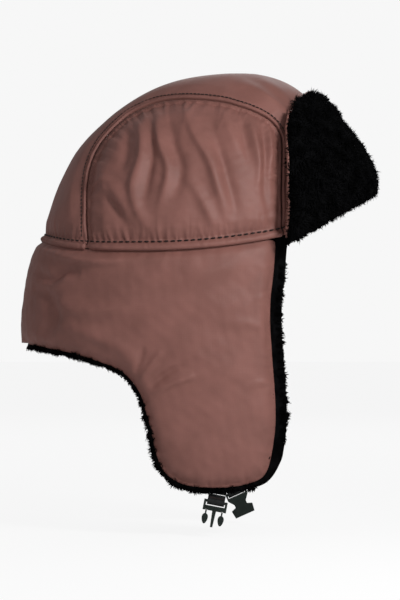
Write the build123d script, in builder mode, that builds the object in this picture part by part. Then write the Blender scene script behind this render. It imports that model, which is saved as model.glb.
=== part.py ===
"""Trapper hat: padded crown, neck skirt with fold-up ear flaps, fold-down front flap, chin buckle.

+X is the wearer's front, +Y the wearer's left, +Z up, in millimetres.
The origin is the middle of the head opening, level with the seam between crown and skirt.
"""

import os
from math import cos, radians, sin, sqrt, tan

from build123d import *

os.makedirs("parts", exist_ok=True)

# ---------------------------------------------------------------- crown
CROWN_HEIGHT = 121.9
CROWN_TOP_X = 20.0
CROWN_SECTIONS = [  # share of its height, back, front, half width
    (-0.16407, -126.5, 112.0, 88.5),
    (0.08203, -118.3, 112.0, 88.5),
    (0.32814, -105.8, 108.5, 85.0),
    (0.53322, -92.0, 99.5, 77.0),
    (0.70139, -76.2, 88.5, 65.5),
    (0.82527, -57.4, 79.0, 51.5),
    (0.91879, -31.0, 64.5, 35.5),
    (0.97621, -9.0, 47.5, 19.5),
]

SHELL = 1.0  # nylon cloth
CROWN_WADDING = 6.0
LINING = 1.2  # quilted lining cloth in the crown

HEM_BACK_X, HEM_BACK_Z = -140.0, -1.5  # crown's lower edge, past its back
HEM_LOW_X, HEM_LOW_Z = -42.0, -9.0  # its lowest point, beside the ear
TEMPLE_X, TEMPLE_Z = 55.0, 0.8  # where it turns up to the forehead
FOREHEAD_RISE = 0.553  # rise per millimetre forward, from temple to forehead

PANEL_BACK_X, PANEL_FRONT_X = -86.5, 58.0  # side panel's ends at the hem
PANEL_TOP = [  # x, share of the crown's height
    (-83.5, 0.4512), (-62.0, 0.7055), (-22.0, 0.8491), (18.0, 0.8244), (49.0, 0.7219), (57.0, 0.5906)
]

THREAD, THREAD_WIDTH = 0.4, 0.8
HEM_STITCH = 6.0  # from the crown's edge up to its row of stitches
PANEL_STITCH = 1.8  # from the panel's seam to its row of stitches

# ---------------------------------------------------------------- skirt and ear flaps
SKIRT_SECTIONS = [  # height, back, front, half width
    (6.0, -121.0, 113.0, 88.6),
    (-35.0, -132.4, 118.0, 89.0),
    (-65.0, -134.9, 120.0, 88.0),
    (-110.0, -133.0, 120.0, 84.5),
    (-192.0, -128.0, 116.0, 72.0),
]
SKIRT_WADDING = 5.0
FUR = 9.0  # pile and knitted backing
FUR_PROUD = 2.0  # the fur shows past the cloth's edge by this
FUR_LEAD = 8.0  # and by this along the front edge
FUR_LEAD_START_X, FUR_LEAD_END_X = 20.0, 48.0  # between these it grows from one to the other
NAPE_EDGE = [(-150.0, -76.5), (-95.0, -83.8), (-62.0, -95.0), (-46.5, -113.0), (-39.0, -140.0)]
FLAP_END = [(-32.5, -164.0), (-10.0, -180.8), (17.0, -182.5), (44.0, -172.5), (51.5, -140.0)]
FRONT_EDGE = [(51.5, -115.0), (48.0, -52.0), (52.0, 4.0)]

FOLD_Z = -88.0  # ear flaps fold here
FOLD_Y = max(row[3] for row in SKIRT_SECTIONS)  # level with the widest wall, so a raised flap clears it
FOLD_GAP = 0.4  # between the skirt and a flap at the fold
FOLD_IN = 8.0  # degrees that a flap swings in to the cheek

# ---------------------------------------------------------------- front flap
FLAP_STAND_OFF = 4.0  # between the crown and the flap's form
FLAP_SHIFT_X, FLAP_SHIFT_Z = 2.0, -4.0  # the flap's form sits further forward and lower
FLAP_SPREAD = 1.05  # and is wider, so that its wings swing clear of the crown
FLAP_WADDING = 2.5
FRONT_FUR = 9.0
FLAP_WING_X, FLAP_WING_Z = 60.0, -6.0  # lower corner of a wing
FLAP_FRONT_X = 135.0
SEAM_BACK_X = 92.0  # the flap's seam runs from here round the forehead, close under the crown's edge
SEAM_GAP = 0.4
SEAM_TUCK = 4.0  # how far the seam's turned-in cloth reaches under the crown's edge
FLAP_EDGE = [  # x, share of the crown's height
    (60.5, 0.3692), (61.5, 0.6399), (67.0, 0.8285), (81.0, 0.9147), (102.0, 0.8696)
]

# ---------------------------------------------------------------- chin straps and buckle
WEBBING_WIDTH = 12.4
WEBBING = 1.2  # thickness of one layer
STRAP_LENGTH = 4.2  # from the fold at the hem to the buckle's bar
STRAP_GAP = 0.4  # between the sewn-in end or the fur and the part that swings
STRAP_ROOM = 2.6  # depth of the notch in the fur's edge behind it
SEWN_END = 14.0  # length of webbing inside the hem
POCKET_CLEARANCE = 0.1
BAR_RADIUS = 1.0
BAR_CLEARANCE = 0.3

MALE_X, MALE_LEAN = 8.5, -11.0  # on the right flap; lean in degrees from hanging straight
FEMALE_X, FEMALE_LEAN = 21.5, 24.0  # on the left flap
STRAP_HEM_Z = min(height for _, height in FLAP_END) - 0.1  # cloth's edge where the straps leave it

LOOP_RADIUS = BAR_RADIUS + BAR_CLEARANCE + WEBBING  # of the webbing round a buckle's bar
FRAME_THICKNESS = 3.0
RAIL = 1.6
FRAME_WIDTH = WEBBING_WIDTH + 2 * (RAIL + 0.7)
BASE_TOP = -LOOP_RADIUS - 0.7  # the cross piece that carries the prongs, below the bar
BASE_BOTTOM = BASE_TOP - 3.4
RIDGES, RIDGE_RADIUS = 5, 0.35
POST_WIDTH, POST_TIP_WIDTH, POST_TIP = 2.8, 1.7, BASE_BOTTOM - 11.7
ARM_X = FRAME_WIDTH / 2 - RAIL - 1.1
ARM_NECK = 1.1
ARM_ROOT_Y = BASE_BOTTOM - 0.3
ARM_BULB_WIDTH, ARM_BULB_TOP, ARM_TIP = 4.4, ARM_ROOT_Y - 2.3, ARM_ROOT_Y - 9.7
ARM_THICKNESS = 2.4
ARM_CLEARANCE = 0.3

HOUSING_TOP = -LOOP_RADIUS - 0.5
HOUSING_WAIST_TOP, HOUSING_WAIST_END = HOUSING_TOP - 4.6, HOUSING_TOP - 8.4
HOUSING_MOUTH = HOUSING_TOP - 15.6
HOUSING_RAIL = 1.3
HOUSING_TOP_WIDTH = WEBBING_WIDTH + 2 * (HOUSING_RAIL + 0.5)
HOUSING_WAIST = 9.4
HOUSING_THICKNESS = 6.0
SOCKET_WALL = 1.1
SOCKET_DEPTH = 13.0
SOCKET_WIDTH = 2 * ARM_X + ARM_BULB_WIDTH - 1.8  # the arms are squeezed in by 0.9 each
HOUSING_WIDTH = SOCKET_WIDTH + 2.8

FAR = 400.0  # reaches past the hat on every side


def save(piece, name):
    """Names a finished piece and writes it as one STEP file."""
    piece.part.label = name
    export_step(piece.part, f"parts/{name}.step")


# ---------------------------------------------------------------- forms that the layers are cut from
def section(height, back, front, half_width):
    """One level section of a form, as an ellipse."""
    with BuildSketch(Plane.XY.offset(height)) as sketch:
        with Locations(((back + front) / 2, 0)):
            Ellipse((front - back) / 2, half_width)
    return sketch.sketch


def crown_form(skin, spread=1.0):
    """Domed solid of the crown, drawn in by skin on all sides and widened by spread."""
    sections = []
    for share, back, front, half_width in CROWN_SECTIONS:
        up = max(share, 0)  # how far the wall leans over here
        out = sqrt(1 - up**2)
        half_width = (half_width - skin * out) * spread
        height = share * CROWN_HEIGHT - skin * up
        sections.append(section(height, back + skin * out, front - skin * out, half_width))
    with BuildPart() as form:
        loft(sections=[*sections, Vertex(CROWN_TOP_X, 0, CROWN_HEIGHT - skin)])
    return form.part


def flap_form(skin):
    """Form of the front flap: the crown's, standing off, widened and shifted, grown outwards by skin."""
    form = crown_form(-FLAP_STAND_OFF - skin, FLAP_SPREAD)
    return form.moved(Location((FLAP_SHIFT_X, 0, FLAP_SHIFT_Z)))


def skirt_form(skin):
    """Solid inside the skirt and ear flaps, drawn in by skin."""
    with BuildPart() as form:
        loft(
            sections=[
                section(height, back + skin, front - skin, half_width - skin)
                for height, back, front, half_width in SKIRT_SECTIONS
            ]
        )
    return form.part


# ---------------------------------------------------------------- outlines, seen from the side
def beside(points, reach, steps=24):
    """Points beside the curve through the given points, pushed out to its right by reach(point)."""
    curve = Spline(*points)
    pushed = []
    for step in range(steps + 1):
        point, along = curve @ (step / steps), curve % (step / steps)
        pushed.append((point.X + along.Y * reach(point), point.Y - along.X * reach(point)))
    return pushed


def prism(outline):
    """A side-view outline carried right through the hat from side to side."""
    with BuildPart() as solid:
        extrude(to_extrude=outline, amount=FAR, both=True)
    return solid.part


def slab(level, upward):
    """All of space above a level, or below it."""
    with BuildPart() as solid:
        with Locations((0, 0, level + FAR if upward else level - FAR)):
            Box(4 * FAR, 4 * FAR, 2 * FAR)
    return solid.part


def crown_region(lift=0.0):
    """Everything above the hem and the forehead edge, or above a line lifted from them."""
    with BuildSketch(Plane.XZ) as sketch:
        with BuildLine():
            ends = (HEM_BACK_X, HEM_BACK_Z + lift), (TEMPLE_X, TEMPLE_Z + lift)
            ThreePointArc(ends[0], (HEM_LOW_X, HEM_LOW_Z + lift), ends[1])
            rise = FOREHEAD_RISE * (FAR - TEMPLE_X)
            Polyline(ends[1], (FAR, TEMPLE_Z + lift + rise), (FAR, FAR), (-FAR, FAR))
            Polyline((-FAR, FAR), (-FAR, HEM_BACK_Z + lift), ends[0])
        make_face()
    return prism(sketch.sketch)


def skirt_region(proud, lead, level, upward):
    """Inside the skirt's edge, grown by proud, and by lead at the front, on one side of a level."""

    def reach(point):
        share = (point.X - FUR_LEAD_START_X) / (FUR_LEAD_END_X - FUR_LEAD_START_X)
        return proud + (lead - proud) * min(max(share, 0), 1)

    edge = beside([*NAPE_EDGE, *FLAP_END, *FRONT_EDGE], reach)
    with BuildSketch(Plane.XZ) as sketch:
        with BuildLine():
            Spline(*edge)
            Polyline(edge[-1], (edge[-1][0], FAR), (-FAR, FAR), (-FAR, edge[0][1]), edge[0])
        make_face()
    with BuildPart() as region:
        add(prism(sketch.sketch))
        add(crown_region(), mode=Mode.SUBTRACT)
        add(slab(level, upward), mode=Mode.INTERSECT)
    return region.part


def raised(points):
    """Points given as x and a share of the crown's height, in millimetres."""
    return [(x, share * CROWN_HEIGHT) for x, share in points]


def panel_region(grown=0.0):
    """Outline of a side panel of the crown, grown by the given amount."""
    front = [(PANEL_FRONT_X, -20), (PANEL_FRONT_X, 0.3692 * CROWN_HEIGHT)]
    points = [*front, *reversed(raised(PANEL_TOP)), (PANEL_BACK_X, -20)]
    edge = beside(points, lambda point: grown)
    with BuildSketch(Plane.XZ) as sketch:
        with BuildLine():
            Spline(*edge)
            Line(edge[-1], edge[0])
        make_face()
    return prism(sketch.sketch)


def half_space(side):
    """The right (side -1) or left (side 1) half of space."""
    with BuildPart() as half:
        with Locations((0, side * FAR, 0)):
            Box(4 * FAR, 2 * FAR, 4 * FAR)
    return half.part


def front_region():
    """Outline of the front flap."""
    front_z = FLAP_WING_Z + FOREHEAD_RISE * (FLAP_FRONT_X - FLAP_WING_X)
    edge = raised(FLAP_EDGE)
    with BuildSketch(Plane.XZ) as sketch:
        with BuildLine():
            Line((FLAP_WING_X, FLAP_WING_Z), edge[0])
            Spline(*edge)
            Polyline(edge[-1], (FLAP_FRONT_X, front_z + 17), (FLAP_FRONT_X, front_z), (FLAP_WING_X, FLAP_WING_Z))
        make_face()
    return prism(sketch.sketch)


def layer(outer, inner, region, extra=()):
    """The layer between two forms, kept inside a region, with any extra solids cut away."""
    with BuildPart() as piece:
        add(outer)
        add(inner, mode=Mode.SUBTRACT)
        add(region, mode=Mode.INTERSECT)
        for solid in extra:
            add(solid, mode=Mode.SUBTRACT)
    return piece


def seam_front(seam):
    """The stretch of the front flap's seam that lies in front of SEAM_BACK_X."""
    with BuildPart() as front:
        add(seam)
        with Locations((SEAM_BACK_X - FAR, 0, 0)):
            Box(2 * FAR, 2 * FAR, 2 * FAR, mode=Mode.SUBTRACT)
    return front.part


# ---------------------------------------------------------------- crown
CROWN = crown_region()
PANEL = panel_region()
crown_skins = [crown_form(skin) for skin in (0, SHELL, SHELL + CROWN_WADDING, SHELL + CROWN_WADDING + LINING)]

for name, side in (("right", -1), ("left", 1)):
    with BuildPart() as side_panel:
        add(crown_skins[0])
        add(crown_skins[1], mode=Mode.SUBTRACT)
        add(CROWN, mode=Mode.INTERSECT)
        add(PANEL, mode=Mode.INTERSECT)
        add(half_space(side), mode=Mode.INTERSECT)
    save(side_panel, f"crown_side_panel_{name}")

save(layer(crown_skins[0], crown_skins[1], CROWN, [PANEL]), "crown_centre_panel")
save(layer(crown_skins[1], crown_skins[2], CROWN), "crown_wadding")
save(layer(crown_skins[2], crown_skins[3], CROWN), "crown_lining")

thread_skin = crown_form(-THREAD)
above_hem = HEM_STITCH + THREAD_WIDTH
hem_row = layer(thread_skin, crown_skins[0], crown_region(HEM_STITCH), [crown_region(above_hem)])
save(hem_row, "crown_hem_stitching")
for name, side in (("right", -1), ("left", 1)):
    outside = panel_region(PANEL_STITCH + THREAD_WIDTH)
    cuts = [panel_region(PANEL_STITCH), half_space(-side)]
    with BuildPart() as above_row:
        add(outside)
        add(crown_region(above_hem + THREAD_WIDTH), mode=Mode.INTERSECT)
    save(layer(thread_skin, crown_skins[0], above_row.part, cuts), f"panel_seam_stitching_{name}")

# ---------------------------------------------------------------- skirt and ear flaps
skirt_skins = [skirt_form(skin) for skin in (0, SHELL, SHELL + SKIRT_WADDING, SHELL + SKIRT_WADDING + FUR)]
SKIRT_LAYERS = [  # name on the skirt, name on a flap, proud, lead
    ("skirt_shell", "ear_flap_shell", 0.0, 0.0),
    ("skirt_wadding", "ear_flap_wadding", 0.0, 0.0),
    ("skirt_fur_lining", "ear_flap_fur", FUR_PROUD, FUR_LEAD),
]


def hem_point(x, side, lean):
    """Where a strap turns, between the depth of the wadding and of the fur, clear below the wadding."""
    _, back, front, half_width = SKIRT_SECTIONS[-1]
    share = (x - (back + front) / 2) / ((front - back) / 2)
    middle = half_width * sqrt(1 - share**2) - SHELL - SKIRT_WADDING
    drop = WEBBING + STRAP_GAP + WEBBING_WIDTH / 2 * sin(radians(abs(lean)))
    return Vector(x, side * middle, STRAP_HEM_Z - drop)


def strap_plane(x, side, lean):
    """Plane of a strap and its buckle: x along the webbing's width, y up the strap, facing outwards."""
    tilt = radians(lean)
    width = (cos(tilt), 0, sin(tilt))
    return Plane(origin=hem_point(x, side, lean), x_dir=width, z_dir=(0, -1, 0))


def at(plane, *point):
    """The plane moved to a point given in its own coordinates."""
    return Plane(origin=plane.from_local_coords(Vector(*point)), x_dir=plane.x_dir, z_dir=plane.z_dir)


def sewn_end(plane, clearance=0.0):
    """The end of the webbing that is sewn into the hem, or with a clearance its pocket."""
    with BuildPart() as end:
        with BuildSketch(at(plane, 0, WEBBING + STRAP_GAP + SEWN_END / 2)):
            Rectangle(WEBBING_WIDTH + 2 * clearance, SEWN_END + 2 * clearance)
        extrude(amount=WEBBING / 2 + clearance, both=True)
    return end


def strap_room(plane):
    """The notch in the fur's lower edge, in which a strap turns."""
    with BuildPart() as room:
        with BuildSketch(plane):
            Rectangle(WEBBING_WIDTH + 2 * STRAP_GAP, 2 * (WEBBING + STRAP_GAP))
        extrude(amount=STRAP_ROOM, both=True)
    return room


male_plane = strap_plane(MALE_X, -1, MALE_LEAN)
female_plane = strap_plane(FEMALE_X, 1, FEMALE_LEAN)

with BuildPart() as fold_wedge:
    # Room above each flap's top face, so that it can swing in by FOLD_IN.
    with BuildSketch(Plane.YZ):
        with BuildLine():
            top = FOLD_Z - FOLD_GAP
            drop = FOLD_Y * tan(radians(FOLD_IN))
            Polyline((FOLD_Y, top), (0, top - drop), (0, FOLD_Z + 1), (FOLD_Y, FOLD_Z + 1), close=True)
        make_face()
        mirror(about=Plane.YZ)
    extrude(amount=FAR, both=True)

for number, (skirt_name, flap_name, proud, lead) in enumerate(SKIRT_LAYERS):
    outer, inner = skirt_skins[number], skirt_skins[number + 1]
    save(layer(outer, inner, skirt_region(proud, lead, FOLD_Z, True)), skirt_name)
    lower = skirt_region(proud, lead, FOLD_Z - FOLD_GAP, False)
    for name, side, plane in (("right", -1, male_plane), ("left", 1, female_plane)):
        pocket = sewn_end(plane, POCKET_CLEARANCE).part
        extra = [fold_wedge.part, half_space(-side), pocket, strap_room(plane).part]
        save(layer(outer, inner, lower, extra), f"{flap_name}_{name}")

# ---------------------------------------------------------------- front flap
FRONT = front_region()
flap_skins = [flap_form(skin) for skin in (0, SHELL, SHELL + FLAP_WADDING, SHELL + FLAP_WADDING + FRONT_FUR)]
seam = layer(flap_skins[0], crown_form(SEAM_TUCK), crown_region(-SEAM_GAP - SHELL), [crown_region(-SEAM_GAP)])
with BuildPart() as backing:
    add(layer(flap_skins[1], flap_skins[0], FRONT).part)
    add(seam_front(seam.part))
save(backing, "front_flap_backing")
save(layer(flap_skins[2], flap_skins[1], FRONT), "front_flap_wadding")
save(layer(flap_skins[3], flap_skins[2], FRONT), "front_flap_fur")

# ---------------------------------------------------------------- chin straps
for name, plane in (("right", male_plane), ("left", female_plane)):
    save(sewn_end(plane), f"strap_sewn_end_{name}")

    side_view = Plane(origin=plane.origin, x_dir=plane.z_dir, z_dir=-plane.x_dir)
    with BuildPart() as strap:
        with BuildSketch(side_view):
            with Locations((0, -STRAP_LENGTH / 2)):
                Rectangle(2 * WEBBING, STRAP_LENGTH)
            Circle(WEBBING)
            with Locations((0, -STRAP_LENGTH)):
                Circle(LOOP_RADIUS)
                Circle(LOOP_RADIUS - WEBBING, mode=Mode.SUBTRACT)
        extrude(amount=WEBBING_WIDTH / 2, both=True)
    save(strap, f"chin_strap_{name}")

    with BuildPart() as bar_tack:
        # A row of zigzag stitches across the webbing, on its outer face.
        with BuildSketch(at(plane, 0, -1.2, WEBBING)):
            Rectangle(WEBBING_WIDTH - 2.0, 1.2)
        extrude(amount=0.35)
    save(bar_tack, f"strap_bar_tack_{name}")

# ---------------------------------------------------------------- buckle, plug half
male_bar = at(male_plane, 0, -STRAP_LENGTH)
arm_roots = [(ARM_X, ARM_ROOT_Y), (-ARM_X, ARM_ROOT_Y)]
with BuildPart() as male_frame:
    with BuildSketch(male_bar):
        half = FRAME_WIDTH / 2
        inner_half = half - RAIL
        with BuildLine():
            Polyline(
                (-half, BAR_RADIUS),
                (-half, BASE_BOTTOM),
                (half, BASE_BOTTOM),
                (half, BAR_RADIUS),
                (inner_half, BAR_RADIUS),
                (inner_half, BASE_TOP),
                (-inner_half, BASE_TOP),
                (-inner_half, BAR_RADIUS),
                close=True,
            )
        make_face()
        with Locations(arm_roots):
            Circle(ARM_NECK / 2 + ARM_CLEARANCE, mode=Mode.SUBTRACT)
    extrude(amount=FRAME_THICKNESS / 2, both=True)
    with BuildSketch(male_bar):
        with BuildLine():
            Polyline(
                (-POST_WIDTH / 2, BASE_BOTTOM),
                (POST_WIDTH / 2, BASE_BOTTOM),
                (POST_TIP_WIDTH / 2, POST_TIP),
                (-POST_TIP_WIDTH / 2, POST_TIP),
                close=True,
            )
        make_face()
    extrude(amount=ARM_THICKNESS / 2, both=True)
    with BuildSketch(Plane(origin=male_bar.origin, x_dir=male_bar.z_dir, z_dir=-male_bar.x_dir)):
        Circle(BAR_RADIUS)
    extrude(amount=inner_half + RAIL / 2, both=True)
    ridge_plane = at(male_bar, 0, (BASE_TOP + BASE_BOTTOM) / 2, FRAME_THICKNESS / 2)
    with BuildSketch(ridge_plane):
        with GridLocations(2 * inner_half / RIDGES, 0, RIDGES, 1):
            Rectangle(2 * RIDGE_RADIUS, 2.2)
    extrude(amount=RIDGE_RADIUS)
save(male_frame, "male_buckle_frame")

for name, side in (("front", 1), ("rear", -1)):
    with BuildPart() as arm:
        with BuildSketch(male_bar):
            with Locations((side * ARM_X, ARM_ROOT_Y)):
                Circle(ARM_NECK / 2)
            with Locations((side * ARM_X, (ARM_ROOT_Y + ARM_BULB_TOP) / 2 - 0.4)):
                Rectangle(ARM_NECK, ARM_ROOT_Y - ARM_BULB_TOP + 0.8)
            with BuildLine():
                shoulder = ARM_BULB_TOP - 2.6
                half = ARM_BULB_WIDTH / 2
                neck = ARM_NECK / 2
                outer = side * ARM_X
                Spline(
                    (outer - neck, ARM_BULB_TOP),
                    (outer - half, shoulder),
                    (outer, ARM_TIP),
                    (outer + half, shoulder),
                    (outer + neck, ARM_BULB_TOP),
                )
                Line((outer + neck, ARM_BULB_TOP), (outer - neck, ARM_BULB_TOP))
            make_face()
        extrude(amount=ARM_THICKNESS / 2, both=True)
    save(arm, f"male_buckle_arm_{name}")

# ---------------------------------------------------------------- buckle, socket half
female_bar = at(female_plane, 0, -STRAP_LENGTH)
with BuildPart() as housing:
    with BuildSketch(female_bar):
        top, waist, wide = HOUSING_TOP_WIDTH / 2, HOUSING_WAIST / 2, HOUSING_WIDTH / 2
        with BuildLine():
            Polyline(
                (-top, HOUSING_TOP),
                (-top, HOUSING_TOP - 1.6),
                (-waist, HOUSING_WAIST_TOP - 1.2),
                (-waist, HOUSING_WAIST_END),
                (-wide, HOUSING_WAIST_END - 1.4),
                (-wide + 0.8, HOUSING_MOUTH),
                (wide - 0.8, HOUSING_MOUTH),
                (wide, HOUSING_WAIST_END - 1.4),
                (waist, HOUSING_WAIST_END),
                (waist, HOUSING_WAIST_TOP - 1.2),
                (top, HOUSING_TOP - 1.6),
                (top, HOUSING_TOP),
                close=True,
            )
        body = make_face()
        fillet(body.vertices().filter_by(lambda v: v.Z < female_bar.origin.Z - 9), 0.9)
    extrude(amount=HOUSING_THICKNESS / 2, both=True)
    with BuildSketch(at(female_bar, 0, HOUSING_MOUTH + SOCKET_DEPTH / 2)):
        Rectangle(SOCKET_WIDTH, SOCKET_DEPTH)
    extrude(amount=HOUSING_THICKNESS / 2 - SOCKET_WALL, both=True, mode=Mode.SUBTRACT)
    with BuildSketch(female_bar):
        for side in (-1, 1):
            with Locations((side * (top - HOUSING_RAIL / 2), (BAR_RADIUS + HOUSING_TOP) / 2 - 0.2)):
                Rectangle(HOUSING_RAIL, BAR_RADIUS - HOUSING_TOP + 0.4)
    extrude(amount=FRAME_THICKNESS / 2, both=True)
    with BuildSketch(Plane(origin=female_bar.origin, x_dir=female_bar.z_dir, z_dir=-female_bar.x_dir)):
        Circle(BAR_RADIUS)
    extrude(amount=top - HOUSING_RAIL / 2, both=True)
save(housing, "female_buckle_housing")
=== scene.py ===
from math import cos, pi, radians, sin

import bpy
import numpy as np
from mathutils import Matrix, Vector
from mathutils.geometry import delaunay_2d_cdt

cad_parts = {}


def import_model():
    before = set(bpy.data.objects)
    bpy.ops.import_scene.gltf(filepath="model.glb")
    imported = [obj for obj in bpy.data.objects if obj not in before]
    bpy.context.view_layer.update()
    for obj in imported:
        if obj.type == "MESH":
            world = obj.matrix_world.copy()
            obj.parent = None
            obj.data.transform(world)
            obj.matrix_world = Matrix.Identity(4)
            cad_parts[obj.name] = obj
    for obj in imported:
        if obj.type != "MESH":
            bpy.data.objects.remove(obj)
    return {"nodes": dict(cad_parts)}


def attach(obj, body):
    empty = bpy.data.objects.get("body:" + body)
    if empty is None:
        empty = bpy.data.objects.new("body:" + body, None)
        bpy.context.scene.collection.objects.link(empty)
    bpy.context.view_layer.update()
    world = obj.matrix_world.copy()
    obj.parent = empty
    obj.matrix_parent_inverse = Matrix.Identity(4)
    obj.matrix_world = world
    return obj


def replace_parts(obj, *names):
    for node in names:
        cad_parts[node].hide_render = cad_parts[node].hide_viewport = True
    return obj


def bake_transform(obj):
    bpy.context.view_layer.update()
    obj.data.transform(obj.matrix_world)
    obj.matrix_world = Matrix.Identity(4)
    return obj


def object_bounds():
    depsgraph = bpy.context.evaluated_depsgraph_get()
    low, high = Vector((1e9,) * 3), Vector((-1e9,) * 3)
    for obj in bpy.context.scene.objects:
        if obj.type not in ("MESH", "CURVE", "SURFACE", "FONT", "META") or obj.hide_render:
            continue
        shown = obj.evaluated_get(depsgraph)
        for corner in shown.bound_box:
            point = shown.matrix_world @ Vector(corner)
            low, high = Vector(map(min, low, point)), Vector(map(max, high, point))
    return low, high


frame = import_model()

CAD_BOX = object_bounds()
MM = 0.001  # the shapes below are worked out in millimetres

# ---------------------------------------------------------------- the hat's forms, in millimetres
CROWN_SECTIONS = np.array([  # height, back, front, half width
    (-20.0, -126.5, 112.0, 88.5),
    (10.0, -118.3, 112.0, 88.5),
    (40.0, -105.8, 108.5, 85.0),
    (65.0, -92.0, 99.5, 77.0),
    (85.5, -76.2, 88.5, 65.5),
    (100.6, -57.4, 79.0, 51.5),
    (112.0, -31.0, 64.5, 35.5),
    (119.0, -9.0, 47.5, 19.5),
])
CROWN_TOP = 121.9
SKIRT_SECTIONS = np.array([  # height, back, front, half width
    (6.0, -121.0, 113.0, 88.6),
    (-35.0, -132.4, 118.0, 89.0),
    (-65.0, -134.9, 120.0, 88.0),
    (-110.0, -133.0, 120.0, 84.5),
    (-192.0, -128.0, 116.0, 72.0),
])
FLAP_FORM_GAP = 4.0  # between the crown and the front flap's form, which is also wider and shifted
FLAP_FORM_SPREAD = 1.05
FLAP_FORM_SHIFT = np.array([2.0, 0.0, -4.0])

HEM_BACK_X, HEM_BACK_Z = -140.0, 9.0  # the crown's edge at the back, at its lowest and at the temples
HEM_LOW_X, HEM_LOW_Z = -42.0, -9.0
TEMPLE_X, TEMPLE_Z = 55.0, 0.8
FOREHEAD_RISE = 0.553  # the edge's slope from the temples up over the forehead
HEM_BAND = 6.2  # from the crown's edge up to its stitches
SEAM_GAP = 0.6  # from the panels' seam to each cloth edge in it
PANEL_RIM = [1.6, 3.2]  # depths of a crown panel's turned edge
CROWN_RADIUS = 100.0  # roughly, to turn an angle round the crown into a length
FLAP_RADIUS = 95.0  # the same on the front flap

SKIRT_EDGE = [  # cloth's edge, seen from the side, from the nape round the ear flap to the temple
    (-133.5, -77.0), (-114.0, -80.1), (-95.1, -83.8), (-76.2, -89.5), (-62.2, -95.2), (-52.5, -104.1),
    (-46.2, -114.5), (-43.2, -125.1), (-39.4, -138.6), (-35.8, -155.0), (-31.5, -165.5), (-24.0, -173.2),
    (-12.0, -178.2), (7.3, -179.8), (24.0, -178.6), (38.5, -174.6), (45.0, -168.6), (48.6, -157.0),
    (51.2, -140.0), (51.8, -126.2), (51.0, -108.0), (49.1, -83.6), (47.8, -62.0), (48.1, -44.0),
    (50.1, -27.0), (51.3, -12.9), (52.5, 3.0), (53.1, 12.0),
]
PANEL_SEAM = [  # side panel's seam, seen from the side
    (-86.6, -4.0), (-87.1, 29.4), (-86.4, 43.7), (-84.4, 54.8), (-79.6, 67.1), (-71.3, 78.6), (-57.8, 91.4),
    (-45.1, 98.2), (-33.7, 101.8), (-19.5, 103.2), (-3.7, 102.6), (13.2, 100.4), (24.5, 97.2), (36.0, 93.0),
    (46.0, 87.5), (52.6, 80.6), (56.1, 72.0), (56.2, 56.0), (55.6, 34.0), (56.0, 16.0), (56.4, 2.3),
]


# ---------------------------------------------------------------- small tools
def smooth_path(points, step):
    """Evenly spaced points, about step apart, on a smooth curve through the given ones."""
    p = np.array(points, float)
    ext = np.vstack([2 * p[0] - p[1], p, 2 * p[-1] - p[-2]])
    out = []
    for i in range(1, len(ext) - 2):
        a, b, c, d = ext[i - 1 : i + 3]
        for t in np.linspace(0, 1, 24, endpoint=False):
            out.append(0.5 * (2 * b + (c - a) * t + (2 * a - 5 * b + 4 * c - d) * t**2
                              + (3 * b - a - 3 * c + d) * t**3))
    out.append(p[-1])
    return even(np.array(out), step)


def even(line, step):
    """The polyline again, with its points evenly spaced."""
    length = np.concatenate([[0], np.cumsum(np.linalg.norm(np.diff(line, axis=0), axis=1))])
    count = max(int(round(length[-1] / step)), 1)
    at = np.linspace(0, length[-1], count + 1)
    return np.stack([np.interp(at, length, line[:, k]) for k in range(line.shape[1])], 1)


def to_line(points, line):
    """Distance of each point to a polyline, the length along it there, and which side (1 is left)."""
    best = np.full(len(points), 1e9)
    along = np.zeros(len(points))
    side = np.ones(len(points))
    run = 0.0
    for a, b in zip(line[:-1], line[1:]):
        d = b - a
        size = np.linalg.norm(d)
        if size < 1e-9:
            continue
        t = np.clip(((points - a) @ d) / size**2, 0, 1)
        off = points - (a + t[:, None] * d)
        dist = np.hypot(off[:, 0], off[:, 1])
        near = dist < best
        best[near] = dist[near]
        along[near] = run + t[near] * size
        side[near] = np.sign(d[0] * off[near, 1] - d[1] * off[near, 0])
        run += size
    return best, along, side


def unit(vectors):
    """The vectors, each made one long."""
    return vectors / np.linalg.norm(vectors, axis=1, keepdims=True)


def beside(path):
    """Unit directions to the left of a path, at its points."""
    along = unit(np.gradient(path, axis=0))
    return np.stack([-along[:, 1], along[:, 0]], 1)


def waves(points, size, seed, count=14):
    """Smooth random field, about -1 to 1, with features of about the given size."""
    rng = np.random.default_rng(seed)
    total = np.zeros(len(points))
    for _ in range(count):
        direction = rng.normal(size=points.shape[1])
        direction *= 2 * pi / (size * rng.uniform(0.8, 1.9) * np.linalg.norm(direction))
        total += np.cos(points @ direction + rng.uniform(0, 2 * pi))
    return total / (0.9 * count**0.5)


def puckers(distance, along, seed, pitch, reach, height, slant=0.25):
    """Short gathers across a seam: ridges that start at it and fade out over reach."""
    rng = np.random.default_rng(seed)
    total = np.zeros(len(distance))
    place, end = along.min(), along.max()
    while place < end:
        place += pitch * rng.uniform(0.6, 1.5)
        width = pitch * rng.uniform(0.22, 0.4)
        long = reach * rng.uniform(0.45, 1.5)
        high = height * rng.uniform(0.35, 1.2)
        lean = rng.normal(0, slant)
        near = np.abs(along - place) < 6 * pitch
        off = (along[near] - place - lean * distance[near]) / (width * (1 + 0.6 * distance[near] / long))
        fade = np.exp(-((distance[near] / long) ** 1.6)) * (1 - np.exp(-distance[near] / 0.7))
        total[near] += high * (np.exp(-(off**2)) - 0.35) * fade
    return total


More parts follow.
